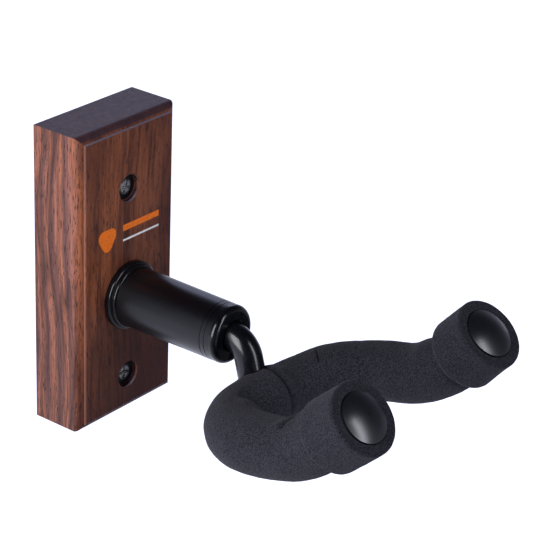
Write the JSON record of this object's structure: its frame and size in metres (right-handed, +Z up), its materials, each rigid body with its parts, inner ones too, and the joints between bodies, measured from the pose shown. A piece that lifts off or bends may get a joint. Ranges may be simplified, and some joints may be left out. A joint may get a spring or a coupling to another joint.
{
  "type": "wall guitar hanger",
  "caption": "Wall hanger for a guitar: a bevelled wooden block on the wall, a flanged tube, and a foam-padded U-shaped yoke that swivels on the tube's axis.",
  "frame": {"origin": "centre of the wooden block's back face, which lies on the wall", "axes": "+Z up, +Y into the wall, -Y out into the room along the tube, +X to the right of someone facing the wall"},
  "size_m": [0.0995, 0.181, 0.115],
  "materials": {
    "walnut": "satin oiled walnut with straight vertical grain",
    "black_screw": "black oxide, semi-gloss",
    "tube_coat": "satin black coating",
    "black_trim": "glossy black moulding",
    "bush_nylon": "natural nylon",
    "plain_steel": "zinc-plated steel",
    "rod_coat": "satin black coating on steel bar",
    "foam": "charcoal closed-cell foam with a fine speckle",
    "cap_plastic": "semi-gloss black moulding"
  },
  "bodies": {
    "wall_unit": {"wood_base": "walnut", "wall_screw_upper": "black_screw", "wall_screw_lower": "black_screw", "swivel_tube": "tube_coat", "tube_flange": "black_trim", "front_bush": "black_trim", "rear_bush": "bush_nylon", "thrust_washer": "plain_steel", "rear_plug": "plain_steel", "bolt_washer": "plain_steel", "tube_bolt": "plain_steel"},
    "yoke": {"stem": "rod_coat", "retaining_ring": "plain_steel", "fork_rod": "rod_coat", "weld_bead": "rod_coat", "left_arm_foam": "foam", "right_arm_foam": "foam", "left_tip_foam": "foam", "right_tip_foam": "foam", "left_end_cap": "cap_plastic", "right_end_cap": "cap_plastic"}
  },
  "joints": [
    {"name": "yoke_swivel", "type": "hinge", "parent": "wall_unit", "child": "yoke", "pos_m": [0, -0.06, -0.0096], "axis": [0, -1, 0], "continuous": true}
  ]
}
